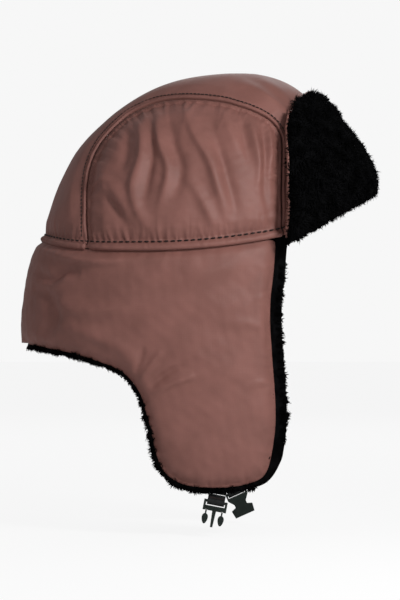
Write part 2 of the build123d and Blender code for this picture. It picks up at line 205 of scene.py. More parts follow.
def folds(points, ridges):
    """Soft folds along drawn lines: each is (points, height, width, width on the left side)."""
    total = np.zeros(len(points))
    for line, height, width, width_left in ridges:
        path = smooth_path(line, 3.0)
        distance, along, side = to_line(points, path)
        length = along.max()
        taper = np.clip(np.sin(pi * np.clip(along / length, 0.02, 0.98)), 0, 1) ** 0.7
        spread = np.where(side > 0, width_left, width)
        total += height * taper * np.exp(-((distance / spread) ** 2))
    return total


def rounded(distance, radius):
    """How far a cloth edge has turned down, at a distance from it."""
    share = np.clip(1 - distance / radius, 0, 1)
    return radius * (1 - np.sqrt(1 - share**2))


# ---------------------------------------------------------------- forms
def fitted(values, at, degree):
    """A smooth curve through the values."""
    return np.polynomial.Polynomial.fit(at, values, degree)


up = np.arcsin(CROWN_SECTIONS[:, 0] / CROWN_TOP)
CROWN_MIDDLE = fitted((CROWN_SECTIONS[:, 1] + CROWN_SECTIONS[:, 2]) / 2, up, 4)
CROWN_LENGTH = fitted((CROWN_SECTIONS[:, 2] - CROWN_SECTIONS[:, 1]) / 2 / np.cos(up), up, 4)
CROWN_WIDTH = fitted(CROWN_SECTIONS[:, 3] / np.cos(up), up, 4)
SKIRT_MIDDLE = fitted((SKIRT_SECTIONS[:, 1] + SKIRT_SECTIONS[:, 2]) / 2, SKIRT_SECTIONS[:, 0], 3)
SKIRT_LENGTH = fitted((SKIRT_SECTIONS[:, 2] - SKIRT_SECTIONS[:, 1]) / 2, SKIRT_SECTIONS[:, 0], 3)
SKIRT_WIDTH = fitted(SKIRT_SECTIONS[:, 3], SKIRT_SECTIONS[:, 0], 3)


def crown_point(rise, turn, lift=0.0, spread=1.0):
    """Point of the crown: rise is its angle up the dome, turn its angle round from the front."""
    out = np.cos(rise)
    x = CROWN_MIDDLE(rise) + (CROWN_LENGTH(rise) + lift) * out * np.cos(turn)
    y = (CROWN_WIDTH(rise) + lift) * out * spread * np.sin(turn)
    return np.stack([x, y, (CROWN_TOP + lift) * np.sin(rise)], -1)


def crown_angles(x, z, side):
    """(rise, turn) of the crown's point at x and z on that side."""
    rise = np.arcsin(np.clip(z / CROWN_TOP, -1, 1))
    share = (x - CROWN_MIDDLE(rise)) / (CROWN_LENGTH(rise) * np.cos(rise))
    return rise, side * np.arccos(np.clip(share, -1, 1))


def flap_point(rise, turn, lift):
    """Point of the front flap, lift above its form."""
    return crown_point(rise, turn, FLAP_FORM_GAP + lift, FLAP_FORM_SPREAD) + FLAP_FORM_SHIFT


TURNS = np.linspace(0, pi, 400)  # round the skirt, from the middle of the back to the front
TURN_LENGTH = np.concatenate([[0], np.cumsum(np.hypot(
    np.diff(SKIRT_LENGTH(-50.0) * -np.cos(TURNS)), np.diff(SKIRT_WIDTH(-50.0) * np.sin(TURNS))))])


def skirt_point(around, z, skin, side):
    """Point of the skirt: around is the length from the middle of the back, skin the depth."""
    turn = np.interp(around, TURN_LENGTH, TURNS)
    x = SKIRT_MIDDLE(z) - (SKIRT_LENGTH(z) - skin) * np.cos(turn)
    y = side * (SKIRT_WIDTH(z) - skin) * np.sin(turn)
    return np.stack([x, y, z], -1)


def skirt_around(x, z):
    """Length round the skirt from the middle of the back to the point at x and z."""
    turn = np.arccos(np.clip((SKIRT_MIDDLE(z) - x) / SKIRT_LENGTH(z), -1, 1))
    return np.interp(turn, TURNS, TURN_LENGTH)


def hem_height(x):
    """Height of the crown's lower edge at x."""
    arc = HEM_LOW_Z + np.where(
        x < HEM_LOW_X,
        (HEM_BACK_Z - HEM_LOW_Z) * ((HEM_LOW_X - x) / (HEM_LOW_X - HEM_BACK_X)) ** 4,
        (TEMPLE_Z - HEM_LOW_Z) * ((x - HEM_LOW_X) / (TEMPLE_X - HEM_LOW_X)) ** 2,
    )
    return np.where(x > TEMPLE_X, TEMPLE_Z + FOREHEAD_RISE * (x - TEMPLE_X), arc)


# ---------------------------------------------------------------- meshes
def patch(outline, spacing):
    """Even triangles inside a closed outline: (points, triangles)."""
    low, high = outline.min(0), outline.max(0)
    row = spacing * 0.866  # an even triangle's height
    grid = []
    for k, v in enumerate(np.arange(low[1], high[1], row)):
        start = low[0] + (spacing / 2 if k % 2 else 0)
        grid.append(np.stack([np.arange(start, high[0], spacing), np.full(
            len(np.arange(start, high[0], spacing)), v)], 1))
    grid = np.vstack(grid)
    closed = np.vstack([outline, outline[:1]])
    inside = np.zeros(len(grid), bool)
    for a, b in zip(closed[:-1], closed[1:]):
        if a[1] != b[1]:
            cross = (a[1] > grid[:, 1]) != (b[1] > grid[:, 1])
            inside ^= cross & (grid[:, 0] < (b[0] - a[0]) * (grid[:, 1] - a[1]) / (b[1] - a[1]) + a[0])
    grid = grid[inside]
    grid = grid[to_line(grid, closed)[0] > 0.55 * spacing]
    points = np.vstack([outline, grid])
    found = delaunay_2d_cdt([Vector(p) for p in points], [], [list(range(len(outline)))], 1, 1e-4)
    return np.array([tuple(v) for v in found[0]]), np.array([f for f in found[2] if len(f) == 3])


def normals(points, faces):
    """Unit normals at the points of a mesh of triangles or quads."""
    corner = points[faces]
    face = np.cross(corner[:, 1] - corner[:, 0], corner[:, -1] - corner[:, 0])
    total = np.zeros_like(points)
    for k in range(faces.shape[1]):
        np.add.at(total, faces[:, k], face)
    return total / np.maximum(np.linalg.norm(total, axis=1, keepdims=True), 1e-12)


def facing(points, faces, inward=False):
    """The faces, turned so that they look away from the hat's middle, or towards it."""
    n = normals(points, faces)
    out = ((points - np.array([0, 0, -30.0])) * n).sum(1).sum()
    return faces[:, ::-1] if (out < 0) != inward else faces


def border_of(faces):
    """The edges that belong to one face only, each in its face's direction."""
    edges = {}
    for k in range(faces.shape[1]):
        for a, b in zip(faces[:, k], faces[:, (k + 1) % faces.shape[1]]):
            edges[(a, b)] = None
    return [(a, b) for a, b in edges if (b, a) not in edges]


def rim(points, faces, direction, depths):
    """Adds a turned edge: the mesh's border carried along direction, to each of the depths."""
    border = border_of(faces)
    index = sorted({a for e in border for a in e})
    place = {v: k for k, v in enumerate(index)}
    rings, quads, last = [points], [], {v: v for v in index}
    for number, depth in enumerate(depths):
        rings.append(points[index] + direction[index] * depth)
        now = {v: len(points) + number * len(index) + place[v] for v in index}
        quads += [(last[b], last[a], now[a], now[b]) for a, b in border]
        last = now
    return np.vstack(rings), [tuple(f) for f in faces] + quads


def make(name, points, faces, material, slot):
    """A Blender object from points in millimetres."""
    mesh = bpy.data.meshes.new(name)
    mesh.from_pydata((np.asarray(points) * MM).tolist(), [], [tuple(int(i) for i in f) for f in faces])
    mesh.materials.append(material)
    mesh.polygons.foreach_set("use_smooth", [True] * len(mesh.polygons))
    mesh.update()
    piece = bpy.data.objects.new(name, mesh)
    bpy.context.scene.collection.objects.link(piece)
    return piece


# ---------------------------------------------------------------- materials
def material(name, colour, roughness, **sockets):
    """A new material: (the material, its node tree, its Principled shader)."""
    made = bpy.data.materials.new(name)
    made.use_nodes = True
    tree = made.node_tree
    shader = tree.nodes["Principled BSDF"]
    shader.inputs["Base Color"].default_value = (*colour, 1)
    shader.inputs["Roughness"].default_value = roughness
    for key, value in sockets.items():
        shader.inputs[key.replace("_", " ")].default_value = value
    return made, tree, shader


def add_node(tree, kind, **values):
    """A new node, with its inputs or its own settings set to the values."""
    node = tree.nodes.new(kind)
    for key, value in values.items():
        if key in node.inputs:
            node.inputs[key].default_value = value
        else:
            setattr(node, key, value)
    return node


def varied(tree, shader, dark, light, size, detail=3.0):
    """Colour that drifts between two shades over patches of a size in metres; returns its coordinates."""
    place = add_node(tree, "ShaderNodeTexCoord")
    noise = add_node(tree, "ShaderNodeTexNoise", Scale=1 / size, Detail=detail)
    ramp = add_node(tree, "ShaderNodeValToRGB")
    ramp.color_ramp.elements[0].position = 0.35
    ramp.color_ramp.elements[1].position = 0.65
    ramp.color_ramp.elements[0].color = (*dark, 1)
    ramp.color_ramp.elements[1].color = (*light, 1)
    tree.links.new(place.outputs["Object"], noise.inputs["Vector"])
    tree.links.new(noise.outputs["Fac"], ramp.inputs["Fac"])
    tree.links.new(ramp.outputs["Color"], shader.inputs["Base Color"])
    return place


def nylon():
    """Taupe-brown taffeta: fine ribs, soft sheen, faint shade changes along the threads."""
    made, tree, shader = material("brown_nylon", (0.2, 0.11, 0.095), 0.56, Sheen_Weight=0.04,
                                  Sheen_Roughness=0.4, Specular_IOR_Level=0.24)
    shader.inputs["Sheen Tint"].default_value = (0.9, 0.6, 0.52, 1)
    place = varied(tree, shader, dark=(0.166, 0.070, 0.057), light=(0.200, 0.085, 0.070),
                   size=0.022, detail=5.0)
    stretch = add_node(tree, "ShaderNodeMapping")
    stretch.inputs["Scale"].default_value = (40.0, 40.0, 2600.0)
    ribs = add_node(tree, "ShaderNodeTexNoise", Scale=1.0, Detail=2.0)
    weft = add_node(tree, "ShaderNodeMapping")
    weft.inputs["Scale"].default_value = (2200.0, 2200.0, 60.0)
    threads = add_node(tree, "ShaderNodeTexNoise", Scale=1.0, Detail=1.0)
    both = add_node(tree, "ShaderNodeMath", operation="ADD")
    bump = add_node(tree, "ShaderNodeBump", Strength=0.22, Distance=0.0003)
    tree.links.new(place.outputs["Object"], stretch.inputs["Vector"])
    tree.links.new(place.outputs["Object"], weft.inputs["Vector"])
    tree.links.new(stretch.outputs["Vector"], ribs.inputs["Vector"])
    tree.links.new(weft.outputs["Vector"], threads.inputs["Vector"])
    tree.links.new(ribs.outputs["Fac"], both.inputs[0])
    tree.links.new(threads.outputs["Fac"], both.inputs[1])
    tree.links.new(both.outputs["Value"], bump.inputs["Height"])
    tree.links.new(bump.outputs["Normal"], shader.inputs["Normal"])
    return made


def fur_black():
    """Black pile with a faint shine on the tips."""
    made, tree, shader = material("black_fur", (0.002, 0.002, 0.002), 0.9, Specular_IOR_Level=0.02)
    varied(tree, shader, dark=(0.0008, 0.0008, 0.0009), light=(0.003, 0.003, 0.0033), size=0.008)
    return made


def plain(name, dark, light, roughness, size, bump_size, bump_strength, **sockets):
    """A material with drifting shade and a fine bump, for lining, thread, webbing and plastic."""
    made, tree, shader = material(name, light, roughness, **sockets)
    place = varied(tree, shader, dark, light, size)
    grain = add_node(tree, "ShaderNodeTexNoise", Scale=1 / bump_size, Detail=2.0)
    bump = add_node(tree, "ShaderNodeBump", Strength=bump_strength, Distance=0.0002)
    tree.links.new(place.outputs["Object"], grain.inputs["Vector"])
    tree.links.new(grain.outputs["Fac"], bump.inputs["Height"])
    tree.links.new(bump.outputs["Normal"], shader.inputs["Normal"])
    return made


NYLON = nylon()
FUR = fur_black()
LINING = plain("black_lining", dark=(0.012, 0.011, 0.011), light=(0.02, 0.018, 0.018), roughness=0.5,
               size=0.02, bump_size=0.0006, bump_strength=0.3, Specular_IOR_Level=0.3)
THREAD = plain("dark_thread", dark=(0.009, 0.005, 0.0045), light=(0.015, 0.008, 0.007), roughness=0.7,
               size=0.004, bump_size=0.0004, bump_strength=0.5, Specular_IOR_Level=0.25)
WEBBING = plain("black_webbing", dark=(0.006, 0.007, 0.007), light=(0.012, 0.013, 0.013), roughness=0.75,
                size=0.003, bump_size=0.0005, bump_strength=0.6, Specular_IOR_Level=0.2)
PLASTIC = plain("black_plastic", dark=(0.004, 0.008, 0.0062), light=(0.008, 0.014, 0.011), roughness=0.42,
                size=0.006, bump_size=0.0003, bump_strength=0.12, Specular_IOR_Level=0.26)

# ---------------------------------------------------------------- crown panels
SIDE_FOLDS = [  # on a side panel, seen from the side: points, height, width, width on the left
    ([(-81, 58), (-73, 38), (-63, 29), (-54, 14)], 2.6, 3.6, 6.5),
    ([(-75, 44), (-64, 22), (-56, 6)], -1.8, 4.0, 4.0),
    ([(-48, 90), (-45, 62), (-51, 37), (-47, 18), (-38, 4)], 2.5, 3.6, 4.6),
    ([(-56, 84), (-57, 60), (-62, 44)], -1.6, 4.0, 4.0),
    ([(-41, 88), (-38, 62), (-41, 40), (-44, 24)], -1.9, 3.6, 3.6),
    ([(-35, 94), (-33, 71), (-27, 53), (-27, 41), (-34, 18)], 2.2, 3.4, 4.0),
    ([(-27, 92), (-22, 66), (-17, 48), (-22, 24)], -1.8, 4.0, 4.0),
    ([(-14, 96), (-10, 78), (2, 56), (8, 38), (15, 14)], 2.5, 3.2, 5.6),
    ([(2, 90), (11, 60), (18, 34), (24, 12)], -2.0, 4.4, 4.0),
    ([(-12, 42), (0, 22), (7, 4)], 1.8, 3.6, 4.4),
    ([(12, 98), (17, 78), (24, 58)], 1.3, 3.6, 3.6),
    ([(33, 93), (34, 76), (39, 52), (38, 34)], 2.2, 3.0, 4.0),
    ([(27, 92), (28, 72), (32, 52)], -1.5, 3.2, 3.2),
    ([(40, 90), (43, 66), (42, 40), (45, 18)], -1.9, 3.0, 3.0),
    ([(46, 86), (48, 64), (46, 42)], 1.9, 2.6, 3.0),
    ([(52, 76), (52, 50), (50, 26)], -1.2, 2.4, 2.4),
]
SIDE_FOLD_DEPTH = 1.35
CENTRE_FOLDS = [  # on the centre panel, seen from the side
    ([(16, 114), (28, 108), (41, 97), (55, 82)], 1.4, 4.0, 6.0),
    ([(8, 109), (26, 102), (38, 95)], -0.9, 4.0, 4.0),
    ([(30, 119), (44, 110), (58, 95)], 0.9, 4.0, 5.0),
    ([(-92, 62), (-93, 40), (-95, 16)], 0.9, 3.0, 4.0),
    ([(-100, 44), (-103, 26), (-107, 8)], 0.8, 4.0, 4.0),
    ([(-70, 88), (-84, 66), (-92, 46)], -0.7, 4.0, 4.0),
]
CENTRE_FOLD_DEPTH = 1.7


def seam_line(step, outward):
    """The side panel's seam, seen from the side, moved outward and cut off at the crown's edge."""
    seam = smooth_path(PANEL_SEAM, step)
    seam = seam + beside(seam) * outward
    seam = seam[seam[:, 1] > hem_height(seam[:, 0])]
    ends = [[(x, float(hem_height(x)))] for x in (seam[0, 0], seam[-1, 0])]
    return np.vstack([ends[0], seam, ends[1]])


def hem_relief(above, run, seed, pitch, reach, height):
    """The crown's hem: gathers over its stitches, their groove, the full band and its turned edge."""
    over = puckers(np.clip(above - HEM_BAND, 0, None), run, seed, pitch, reach, height)
    band = puckers(np.clip(HEM_BAND - above, 0, None) + 0.4, run, seed + 1, pitch=4.0, reach=5.0, height=0.6)
    groove = np.exp(-(((above - HEM_BAND) / 0.9) ** 2))
    bulge = 1.9 * np.exp(-(((above - HEM_BAND * 0.4) / 2.5) ** 2))
    return np.where(above > HEM_BAND, over, band) - groove + bulge - rounded(above, 0.5)


def side_panel(name, side, seed):
    """One D-shaped side panel, with its drape folds, gathers at the seam and the turned hem."""
    spacing = 0.95
    seam = seam_line(spacing, -SEAM_GAP)
    hem_x = np.arange(seam[-1, 0] - 0.9, seam[0, 0], -spacing)
    hem = np.stack([hem_x, hem_height(hem_x)], 1)
    flat, faces = patch(np.vstack([seam, hem]), spacing)
    rise, turn = crown_angles(flat[:, 0], flat[:, 1], side)
    base = crown_point(rise, turn)
    faces = facing(base, faces)
    above = flat[:, 1] - hem_height(flat[:, 0])
    to_seam, along, _ = to_line(flat, seam)
    inner = np.clip(to_seam / 14, 0, 1) * np.clip((above - HEM_BAND) / 10, 0, 1)
    shift = waves(flat, 60, seed + 5) * 2.5  # the left panel's folds wander a little from the right's
    moved = flat + np.stack([shift, shift * 0.4], 1) * (0.0 if side < 0 else 1.0)
    high = SIDE_FOLD_DEPTH * folds(moved, SIDE_FOLDS) * (0.25 + 0.75 * inner)
    high += 1.3 * inner + 0.30 * waves(flat * [1.0, 0.45], 20, seed) * inner
    high += 0.10 * waves(flat, 7, seed + 1) * inner
    high += puckers(to_seam, along, seed + 2, pitch=6.8, reach=13.0, height=1.3)
    high += hem_relief(above, flat[:, 0], seed + 3, pitch=3.8, reach=7.5, height=1.15)
    high -= 1.5 * np.exp(-((to_seam / 2.6) ** 2)) + rounded(to_seam, 0.6)
    points = base + normals(base, faces) * high[:, None]
    points, faces = rim(points, faces, -normals(base, faces), PANEL_RIM)
    piece = make(name, points, faces, NYLON, "shell_cloth")
    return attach(piece, "hat")


DISK = 110.0  # millimetres of the flat layout per radian down from the top of the crown
STITCH_INSET = 2.4  # from the seam to the groove of the stitches beside it


def to_disk(rise, turn):
    """The crown's points laid flat round its top."""
    return np.stack([(pi / 2 - rise) * DISK * np.cos(turn), (pi / 2 - rise) * DISK * np.sin(turn)], -1)


def from_disk(flat):
    """(rise, turn) of points that to_disk laid flat."""
    return pi / 2 - np.hypot(flat[:, 0], flat[:, 1]) / DISK, np.arctan2(flat[:, 1], flat[:, 0])


def edge_rise(turn, above=0.0):
    """How far up the dome the crown's edge lies at each turn, or a line above it."""
    rise = np.zeros_like(turn)
    for _ in range(30):
        x = crown_point(rise, turn)[:, 0]
        rise = np.arcsin((hem_height(x) + above) / CROWN_TOP)
    return rise


def centre_panel():
    """The panel that runs from the forehead over the top to the back."""
    seam = seam_line(1.2, SEAM_GAP)
    right = to_disk(*crown_angles(seam[:, 0], seam[:, 1], -1))
    left = right * [1, -1]
    front_turn = np.arctan2(right[-1, 1], right[-1, 0])
    back_turn = np.arctan2(right[0, 1], right[0, 0])
    front = np.linspace(front_turn, -front_turn, 150)[1:-1]
    back = np.linspace(-back_turn, 2 * pi + back_turn, 130)[1:-1]
    outline = np.vstack([
        right, to_disk(edge_rise(front), front), left[::-1], to_disk(edge_rise(back), back)])
    flat, faces = patch(outline, 1.7)
    rise, turn = from_disk(flat)
    base = crown_point(rise, turn)
    faces = facing(base, faces)
    above = base[:, 2] - hem_height(base[:, 0])
    to_right, along_right, _ = to_line(flat, right)
    to_left, along_left, _ = to_line(flat, left)
    to_seam = np.minimum(to_right, to_left) * 0.8
    along = np.where(to_right < to_left, along_right, along_left + 500)  # so that their gathers differ
    inner = np.clip(to_seam / 12, 0, 1) * np.clip((above - HEM_BAND) / 10, 0, 1)
    high = 1.3 * inner + 0.35 * waves(base * [0.6, 1.0, 1.0], 26, 41) * inner
    slanted = base[:, [0, 2]] + np.stack([base[:, 1] * 0.15, base[:, 1] * 0], 1)
    high += folds(slanted, CENTRE_FOLDS) * CENTRE_FOLD_DEPTH * inner
    high += puckers(to_seam, along, 43, pitch=5.6, reach=6.0, height=0.5)
    high -= 0.55 * np.exp(-(((to_seam - STITCH_INSET) / 0.6) ** 2)) * (above > HEM_BAND)
    high += hem_relief(above, turn * CROWN_RADIUS, 44, pitch=4.2, reach=7.0, height=1.0)
    high -= rounded(to_seam, 0.5)
    points = base + normals(base, faces) * high[:, None]
    points, faces = rim(points, faces, -normals(base, faces), PANEL_RIM)
    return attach(make("crown_centre", points, faces, NYLON, "shell_cloth"), "hat")


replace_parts(side_panel("crown_side_right", -1, 11), "crown_side_panel_right")
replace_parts(side_panel("crown_side_left", 1, 12), "crown_side_panel_left")
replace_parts(centre_panel(), "crown_centre_panel", "crown_wadding")


def bend_at_ear(piece):
    """Bakes the piece's placement into its mesh."""
    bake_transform(piece)


SKIRT_FOLDS = [  # on the skirt and the ear flap, seen from the side
    ([(-116, -8), (-98, -14), (-76, -17), (-52, -16)], 3.0, 3.4, 4.4),
    ([(-124, -22), (-112, -30), (-102, -24), (-88, -24)], -3.0, 3.4, 4.6),
    ([(-128, -36), (-114, -42), (-110, -58), (-120, -72)], -3.0, 4.4, 5.6),
    ([(-118, -44), (-86, -52), (-48, -50)], 1.9, 6.0, 6.0),
    ([(-110, -62), (-80, -70), (-56, -82), (-44, -100)], 1.8, 5.4, 6.0),
    ([(-38, -113), (-24, -104), (-6, -98)], 1.8, 2.2, 3.0),
    ([(-41, -108), (-28, -97), (-14, -90)], -1.5, 2.2, 2.2),
    ([(-46, -102), (-38, -90), (-30, -80)], 1.5, 2.2, 2.6),
    ([(-50, -98), (-46, -86), (-44, -76)], -1.1, 2.2, 2.2),
    ([(50, -44), (42, -42), (34, -45)], 0.6, 2.2, 2.6),
    ([(50, -68), (36, -62), (16, -60)], 0.7, 3.4, 3.8),
    ([(52, -106), (41, -103), (31, -106)], 0.9, 2.2, 2.6),
    ([(30, -10), (8, -24), (-16, -30)], 1.0, 7.0, 7.0),
    ([(44, -14), (40, -50), (42, -96)], 0.8, 5.0, 5.0),
]
SKIRT_FOLD_DEPTH = 1.5


def skirt_outline(grow, lead, top):
    """Closed outline of half the skirt, laid flat: grown, grown by lead at the front, top above the hem."""
    step = 1.5
    edge = smooth_path(SKIRT_EDGE, step)
    share = np.clip((edge[:, 0] - 20) / 28, 0, 1)
    share = np.where(edge[:, 1] > -150, share, share * np.clip((edge[:, 1] + 186) / 30, 0, 1))
    reach = grow + (lead - grow) * share
    edge = edge - beside(edge) * reach[:, None]
    flat = np.stack([skirt_around(edge[:, 0], edge[:, 1]), edge[:, 1]], 1)
    flat = flat[(flat[:, 0] > 1.5) & (flat[:, 1] < hem_height(edge[:, 0]) + top - 1)]
    lowest = flat[0, 1]
    steps = np.arange(flat[-1, 0], 0, -step)[1:]
    x = skirt_point(steps, np.zeros(len(steps)), 0, 1)[:, 0]
    hem = np.stack([steps, hem_height(x) + top], 1)
    back = np.array([(0.0, z) for z in np.arange(hem[-1, 1], lowest, -step)])
    return even(np.vstack([flat, hem, back]), 1.4)


def skirt_shell(name, side, seed):
    """Cloth of one half of the skirt with its ear flap."""
    outline = skirt_outline(grow=0.0, lead=0.0, top=4.0)
    flat, faces = patch(outline, 1.5)
    base = skirt_point(flat[:, 0], flat[:, 1], 0.0, side)
    faces = facing(base, faces)
    edge = outline[outline[:, 0] > 0.5]
    cut = edge[edge[:, 1] < hem_height(skirt_point(edge[:, 0], edge[:, 1], 0, 1)[:, 0]) + 2]
    to_edge, along, _ = to_line(flat, cut)
    below = hem_height(base[:, 0]) - flat[:, 1]
    inner = np.clip(to_edge / 18, 0, 1) * np.clip(below / 16, 0, 1)
    side_view = base[:, [0, 2]]
    high = -2.6 * (1 - np.clip(to_edge / 11, 0, 1)) ** 2 - 3.4 * (1 - np.clip(below / 7, 0, 1)) ** 2
    high += 0.8 * inner + 0.45 * waves(flat * [0.55, 1.0], 30, seed) * inner
    high += 0.12 * waves(flat, 9, seed + 1) * inner
    high += SKIRT_FOLD_DEPTH * folds(side_view, SKIRT_FOLDS) * np.clip(to_edge / 5, 0, 1)
    high += puckers(to_edge, along, seed + 2, pitch=5.5, reach=6.5, height=0.9)
    high += puckers(np.clip(below, 0, None), flat[:, 0], seed + 3, pitch=8.0, reach=10.0, height=0.5)
    high -= rounded(to_edge, 1.6)
    points = base + normals(base, faces) * high[:, None]
    points, faces = rim(points, faces, -normals(base, faces), [1.2, 2.2])
    piece = make(f"skirt_cloth_{name}", points, faces, NYLON, "shell_cloth")
    bend_at_ear(piece)
    return piece


DISORDER = 0.9  # how far the pile's clumps lean their own ways


def tufts(points, faces, count, length, width, seed, comb, keep=None):
    """Bent three-sided tufts of pile on a mesh: comb is their common lean, keep their share at each point."""
    rng = np.random.default_rng(seed)
    tri = np.array([(f[0], f[k], f[k + 1]) for f in faces for k in range(1, len(f) - 1)])
    corner = points[tri]
    face_normal = np.cross(corner[:, 1] - corner[:, 0], corner[:, 2] - corner[:, 0])
    area = np.linalg.norm(face_normal, axis=1)
    face_normal /= np.maximum(area[:, None], 1e-12)
    if keep is not None:
        area = area * keep[tri].min(1)
    pick = rng.choice(len(tri), count, p=area / area.sum())
    a, b = rng.random(count), rng.random(count)
    flip = a + b > 1
    a[flip], b[flip] = 1 - a[flip], 1 - b[flip]
    c = corner[pick]
    root = c[:, 0] + a[:, None] * (c[:, 1] - c[:, 0]) + b[:, None] * (c[:, 2] - c[:, 0])
    n = face_normal[pick]
    lean = np.stack([waves(root, 9, seed + k) for k in (1, 2, 3)], 1) * DISORDER
    lean += rng.normal(0, 0.35, (count, 3)) + comb
    lean -= n * (lean * n).sum(1, keepdims=True)
    clumps = np.clip(1 + 0.3 * waves(root, 7, seed + 9), 0.5, 1.6)
    size = length * (rng.uniform(0.5, 1.25, count) * clumps)[:, None]
    first = unit(n + 0.45 * lean)
    second = unit(n * 0.45 + lean)
    middle = root + first * size * 0.5
    tip = middle + second * size * 0.55
    side_a = unit(np.cross(n, rng.normal(size=(count, 3))))
    side_b = np.cross(n, side_a)
    ring = [(cos(k * 2 * pi / 3), sin(k * 2 * pi / 3)) for k in range(3)]
    thick = width * rng.uniform(0.7, 1.3, count)[:, None]
    verts = [root - n * 0.4 + (side_a * u + side_b * v) * thick for u, v in ring]
    verts += [middle + (side_a * u + side_b * v) * thick * 0.8 for u, v in ring]
    verts += [tip]
    verts = np.stack(verts, 1).reshape(-1, 3)
    start = np.arange(count)[:, None] * 7
    quads, tris = [], []
    for k in range(3):
        m = (k + 1) % 3
        quads.append(start + np.array([[k, m, m + 3, k + 3]]))
        tris.append(start + np.array([[k + 3, m + 3, 6]]))
    return verts, [tuple(q) for q in np.vstack(quads)] + [tuple(t) for t in np.vstack(tris)]


def with_tufts(points, faces, **pile):
    """A base mesh and its tufts as one mesh."""
    verts, tuft_faces = tufts(points, faces, **pile)
    start = len(points)
    joined = [tuple(f) for f in faces] + [tuple(int(i) + start for i in f) for f in tuft_faces]
    return np.vstack([points, verts]), joined


def skirt_fur(name, side, seed):
    """Fur lining of one half of the skirt with its ear flap: a soft slab with pile on it."""
    outline = skirt_outline(grow=2.1, lead=8.2, top=1.0)
    flat, faces = patch(outline, 3.0)
    to_edge = to_line(flat, outline[outline[:, 0] > 0.5])[0]
    round_off = np.sqrt(np.clip(1 - (1 - np.clip(to_edge / 4.5, 0, 1)) ** 2, 0, 1))
    lumps = 0.6 * waves(flat, 12, seed)
    inner_skin = 8.5 + 3.2 * round_off + lumps * round_off
    outer_skin = np.interp(to_edge, [0.0, 2.6, 6.5], [2.8, 6.4, 4.4])
    inside = skirt_point(flat[:, 0], flat[:, 1], inner_skin, side)
    outside = skirt_point(flat[:, 0], flat[:, 1], outer_skin, side)
    inward = facing(inside, faces, inward=True)
    outward = facing(outside, faces)
    count = len(flat)
    points = np.vstack([inside, outside])
    both = np.vstack([inward, outward + count])
    joined = [tuple(f) for f in both] + [(b, a, a + count, b + count) for a, b in border_of(inward)]
    below = hem_height(inside[:, 0]) - flat[:, 1]
    # outside, pile grows only at the edge, and not at the ear flap's lower front, under the cloth
    open_edge = (to_edge < 3.4) & (below > 16.0) & ((inside[:, 0] < 36.0) | (flat[:, 1] > -148.0))
    shown = np.concatenate([below > 4.0, open_edge])
    near = np.concatenate([1 + 2.5 * (to_edge < 9.0), np.full(count, 3.5)])
    points, joined = with_tufts(points, joined, count=17500, length=2.9, width=0.42, seed=seed,
                                comb=(0.0, 0.0, -0.2), keep=shown * near)
    piece = make(f"skirt_fur_{name}", points, joined, FUR, "black_fur")
    bend_at_ear(piece)
    return piece


for name, side, seed in (("right", -1, 101), ("left", 1, 201)):
    cloth = skirt_shell(name, side, seed)
    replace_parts(cloth, f"ear_flap_shell_{name}", f"ear_flap_wadding_{name}")
    fur = skirt_fur(name, side, seed + 50)
    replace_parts(fur, f"ear_flap_fur_{name}")
    if side < 0:  # the nape's CAD pieces are whole, so they are replaced once
        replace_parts(cloth, "skirt_shell", "skirt_wadding")
        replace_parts(fur, "skirt_fur_lining")

# ---------------------------------------------------------------- front flap
WING_EDGE = np.array([  # a wing's end, seen from the side: height, x
    (-12.0, 54.8), (2.0, 56.0), (12.0, 57.2), (40.0, 57.9), (62.0, 57.6), (80.0, 57.4),
    (92.0, 59.2), (104.0, 64.5)])


def free_edge(x):
    """Height of the flap's free edge at x."""
    return 112.6 - 18.0 * np.clip((82.0 - x) / 20.0, 0, 1) ** 2.2


def fur_foot(x):
    """Height of the fur's lower edge at x."""
    return -5.2 + 0.585 * (x - 60.0)


def rise_at(turn, height, lift):
    """How far up the flap's form its points meet a height that depends on x."""
    rise = np.full_like(turn, 0.4)
    for _ in range(40):
        z = height(flap_point(rise, turn, lift)[..., 0]) - FLAP_FORM_SHIFT[2]
        rise += 0.5 * (np.arcsin(np.clip(z / (CROWN_TOP + FLAP_FORM_GAP + lift), -1, 0.99)) - rise)
    return rise


def flap_grid(lower, upper, body_lift, lift, columns, rows, short=0.0):
    """Grid over the front flap between two edges; short ends it before the wings' own ends."""
    u = np.linspace(-1, 1, columns)[None, :]
    v = np.linspace(0, 1, rows)[:, None]
    end = np.full(rows, 1.0)
    for _ in range(60):
        low, high = rise_at(end, lower, body_lift), rise_at(end, upper, body_lift)
        rise = low + (high - low) * v[:, 0]
        z = flap_point(rise, end, body_lift)[..., 2]
        x = np.interp(z, *WING_EDGE.T) + short - FLAP_FORM_SHIFT[0]
        reach = (CROWN_LENGTH(rise) + FLAP_FORM_GAP + body_lift) * np.cos(rise)
        end += 0.4 * (np.arccos(np.clip((x - CROWN_MIDDLE(rise)) / reach, -1, 1)) - end)
    turn = u * end[:, None]
    low, high = rise_at(turn, lower, body_lift), rise_at(turn, upper, body_lift)
    rise = low + (high - low) * v
    points = flap_point(rise, turn, lift(u, v, rise, turn))
    index = np.arange(rows * columns).reshape(rows, columns)
    faces = np.stack([index[:-1, :-1], index[:-1, 1:], index[1:, 1:], index[1:, :-1]], -1).reshape(-1, 4)
    return points.reshape(-1, 3), faces


def edge_share(u, v, width_u, width_v):
    """0 at the flap's edges, rising to 1 inside them."""
    to_end = np.clip((1 - np.abs(u)) / width_u, 0, 1)
    to_side = np.clip(np.minimum(v, 1 - v) / width_v, 0, 1)
    return np.sqrt(1 - (1 - to_end) ** 2) * np.sqrt(1 - (1 - to_side) ** 2)


def slimmer(v):
    """0 along the flap's lower part, 1 along its upper part, where the pile is thinner."""
    share = np.clip((v - 0.12) / 0.56, 0, 1)
    return share**2 * (3 - 2 * share)


